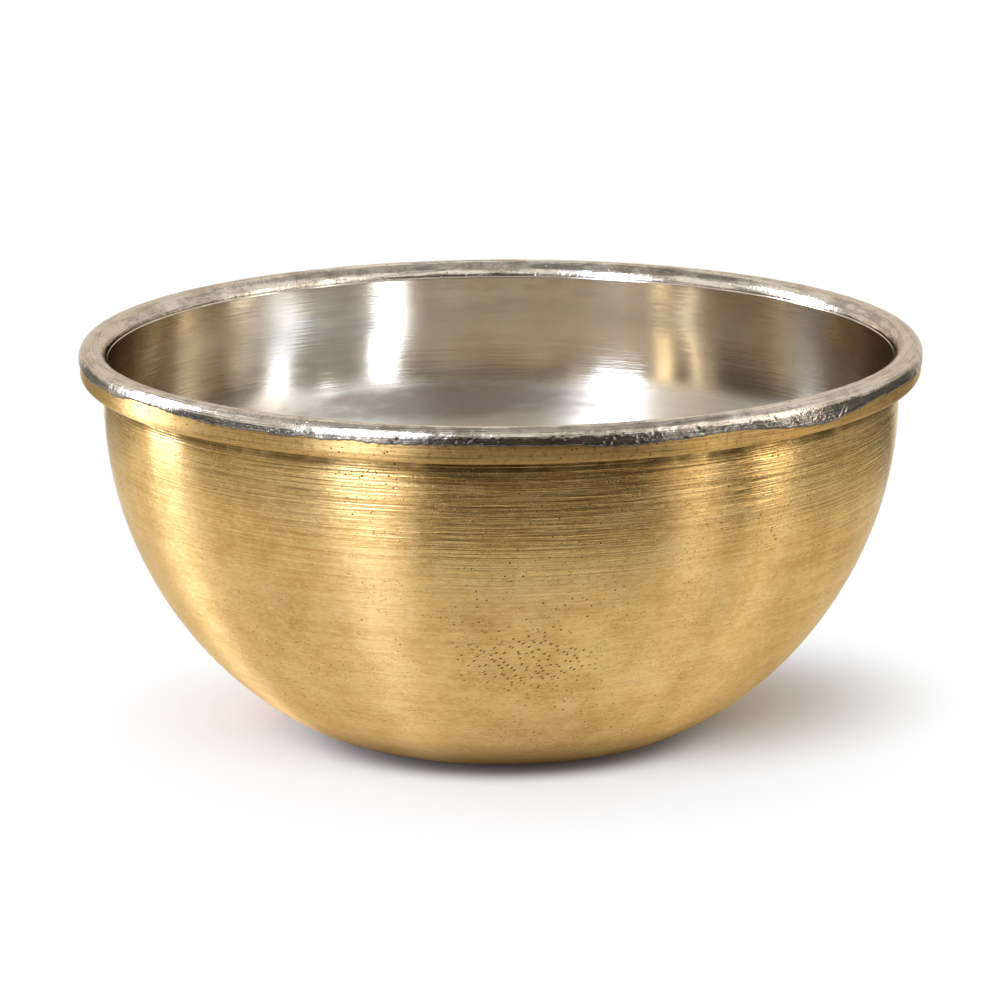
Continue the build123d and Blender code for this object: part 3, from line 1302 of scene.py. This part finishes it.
@dataclass(frozen=True)
class Card:
    """A card that only gloss shows: rings at given radii and levels, over a span of azimuth in degrees."""

    name: str
    span: Pair
    radii: Numbers
    levels: Numbers
    shade: Color
    columns: int = 37

    @classmethod
    def flag(cls, name: str, span: Pair, start: float, height: float, shade: Color) -> "Card":
        """Return a card that lies just over the floor from a start radius and stands up at its far edge."""
        low, far = 2 * MM, 1.1
        return cls(name, span, (start, far, far), (low, low, height), shade)

    def place(self) -> bpy.types.Object:
        """Make the card.

        Returns:
            The card, hidden from every ray but gloss.
        """
        low, high = (math.radians(angle) for angle in self.span)
        azimuth = np.linspace(low, high, self.columns)[None, :]
        level = np.array(self.levels)[:, None] + 0.0 * azimuth
        g = Graph(self.name)
        g.show(g.node("ShaderNodeEmission", {"Color": self.shade}).outputs[0])
        grid = ring_points(np.array(self.radii)[:, None], azimuth, level)
        card = sheet_object(self.name, grid, g.material)
        for rays in ("camera", "diffuse", "shadow", "transmission", "volume_scatter"):
            setattr(card, f"visible_{rays}", False)
        return card


@dataclass
class Studio:
    """White floor and surround, soft boxes, cards for the gloss and the camera."""

    target: Vector = field(default_factory=lambda: Vector((0.0, 0.0, 0.03)))
    floor_half: float = 4.0
    floor_drop: float = 0.05 * MM
    surround: float = 0.42
    bounces: int = 8
    spare_bounces: int = 4
    # Painted bounce light: the matt floor is warm on the left and cool on the right, which shows in its
    # shadows
    floor_left_painted_warmth: Color = (0.92, 0.84, 0.74)
    floor_right_painted_coolness: Color = (0.95, 0.97, 0.99)
    painted_tint_blend: Fade = (0.0, 0.035)
    shadow_middle: Point = (0.020, 0.018, 0.0)
    shadow_fade: Fade = (0.015, 0.050)
    left_middle: Point = (-0.018, 0.010, 0.0)
    left_fade: Fade = (0.010, 0.042)
    contact_fade: Fade = (0.0235, 0.032, 0.75)
    open_fade: Fade = (0.030, 0.070, 0.25)
    gloss_fade: Fade = (0.026, 0.046)
    lamps: tuple[Lamp, ...] = (
        Lamp("left_box", -109.0, 16.0, 0.20, 0.60, 13.0, (0.93, 1.10, 1.50), on_floor=0.385),
        Lamp("front_left_box", -38.0, 24.0, 0.205, 0.66, 7.6, (0.92, 1.08, 1.5)),
        Lamp("right_strip", 57.0, 20.0, 0.06, 0.50, 4.5),
        Lamp("right_side_strip", 79.0, 9.0, 0.12, 0.40, 5.0, (1.0, 0.92, 0.8)),
    )
    cards: tuple[Card, ...] = (
        Card.flag("front_flag", (-21.5, 43.0), 0.105, 0.55, (0.085, 0.075, 0.065)),
        Card.flag("left_flag", (-94.0, -48.0), 0.20, 0.15, (0.10, 0.10, 0.10)),
        Card.flag("right_flag", (57.0, 73.0), 0.12, 0.30, (0.06, 0.06, 0.06)),
        Card.flag("right_back_flag", (84.0, 145.0), 0.16, 0.15, (0.15, 0.15, 0.15)),
        Card.flag("left_back_flag", (-150.0, -122.0), 0.20, 0.15, (0.30, 0.30, 0.30)),
        Card("top_card", (-180.0, 180.0), (0.0001, 0.7), (0.9, 0.9), (0.45, 0.45, 0.45)),
    )

    def build(self) -> None:
        """Set up the floor, the surround, the cards, the lamps, the view and the camera."""
        self.floor()
        for card in self.cards:
            card.place()
        self.world()
        for lamp in self.lamps:
            lamp.place(self.target)
        scene = bpy.context.scene
        scene.cycles.caustics_reflective = True
        scene.cycles.glossy_bounces = self.bounces
        scene.cycles.max_bounces = self.bounces + self.spare_bounces
        scene.view_settings.view_transform = "Standard"
        self.camera()

    def floor(self) -> bpy.types.Object:
        """Return a level floor that takes shadow near the bowl and shows plain white further out."""
        g = Graph("white_floor")
        place = g.node("ShaderNodeTexCoord").outputs["Object"]
        path = g.node("ShaderNodeLightPath").outputs
        away = g.distance(place)
        right = g.rise(g.distance(place, self.shadow_middle), *self.shadow_fade)
        left = g.rise(g.distance(place, self.left_middle), *self.left_fade)
        lobes = g.times(right, left)
        seen = g.math("ADD", g.rise(away, *self.open_fade), g.rise(away, *self.contact_fade))
        gloss = g.most(path["Is Glossy Ray"], path["Is Transmission Ray"])
        gloss = g.times(g.times(gloss, lobes), g.rise(away, *self.gloss_fade))
        share = g.math("MULTIPLY_ADD", g.times(seen, lobes), path["Is Camera Ray"], gloss)
        # Painted bounce light: the matt floor's colour goes from warm on the left to cool on the right, and
        # shows where the floor is not plain white, near the bowl
        tint = g.mix(g.rise(g.split(place)[0], *self.painted_tint_blend), self.floor_left_painted_warmth, self.floor_right_painted_coolness)
        matt = g.node("ShaderNodeBsdfDiffuse", {"Color": tint}).outputs[0]
        white = g.node("ShaderNodeEmission").outputs[0]
        g.show(g.node("ShaderNodeMixShader", {0: share, 1: matt, 2: white}).outputs[0])
        side = np.array([-self.floor_half, self.floor_half])
        x, y = np.meshgrid(side, side)
        return sheet_object("floor", np.stack([x, y, np.full_like(x, -self.floor_drop)], axis=2), g.material)

    def world(self) -> None:
        """Light the scene from all round, and show white behind it."""
        world = bpy.data.worlds.new("studio")
        bpy.context.scene.world = world
        world.use_nodes = True
        g = Graph("studio", world.node_tree)
        path = g.node("ShaderNodeLightPath").outputs
        shown = g.most(path["Is Camera Ray"], g.most(path["Is Glossy Ray"], path["Is Transmission Ray"]))
        back = world.node_tree.nodes["Background"].inputs
        back["Color"].default_value = (*WHITE, 1.0)
        world.node_tree.links.new(g.total((self.surround, 1.0 - self.surround), shown), back["Strength"])

    @staticmethod
    def camera() -> None:
        """Set the camera at the photograph's angle: long lens, a little above the rim, nearly level."""
        distance, elevation, roll = 0.9, math.radians(13.19), math.radians(0.30)
        focal_pixels, image_pixels, sensor = 6285.6, 1000.0, 36.0
        aim = Vector((-0.00019, 0.0, 0.03358))
        lens = bpy.data.cameras.new("camera")
        lens.sensor_width = sensor
        lens.lens = focal_pixels / image_pixels * sensor
        lens.clip_end = 20.0
        camera = place_object("camera", lens)
        back = Vector((0.0, -math.cos(elevation), math.sin(elevation)))
        right = Vector((1.0, 0.0, 0.0))
        axes = Matrix((right, back.cross(right), back)).transposed() @ Matrix.Rotation(-roll, 3, "Z")
        camera.matrix_world = Matrix.Translation(aim + distance * back) @ axes.to_4x4()
        bpy.context.scene.camera = camera


def main() -> None:
    """Build the bowl's pieces and the studio, and report each piece."""
    logging.basicConfig(level=logging.INFO, format="%(name)s: %(message)s")
    sizes = BowlSizes.from_frame()
    for maker in (BrassShell(sizes), TinLining(sizes), RimTin(sizes)):
        piece = maker.build()
        log.info("%s: %d faces", piece.name, len(piece.data.polygons))
    log.info("%s: dressed", RimWire().dress().name)
    Studio().build()


if __name__ == "__main__":
    main()
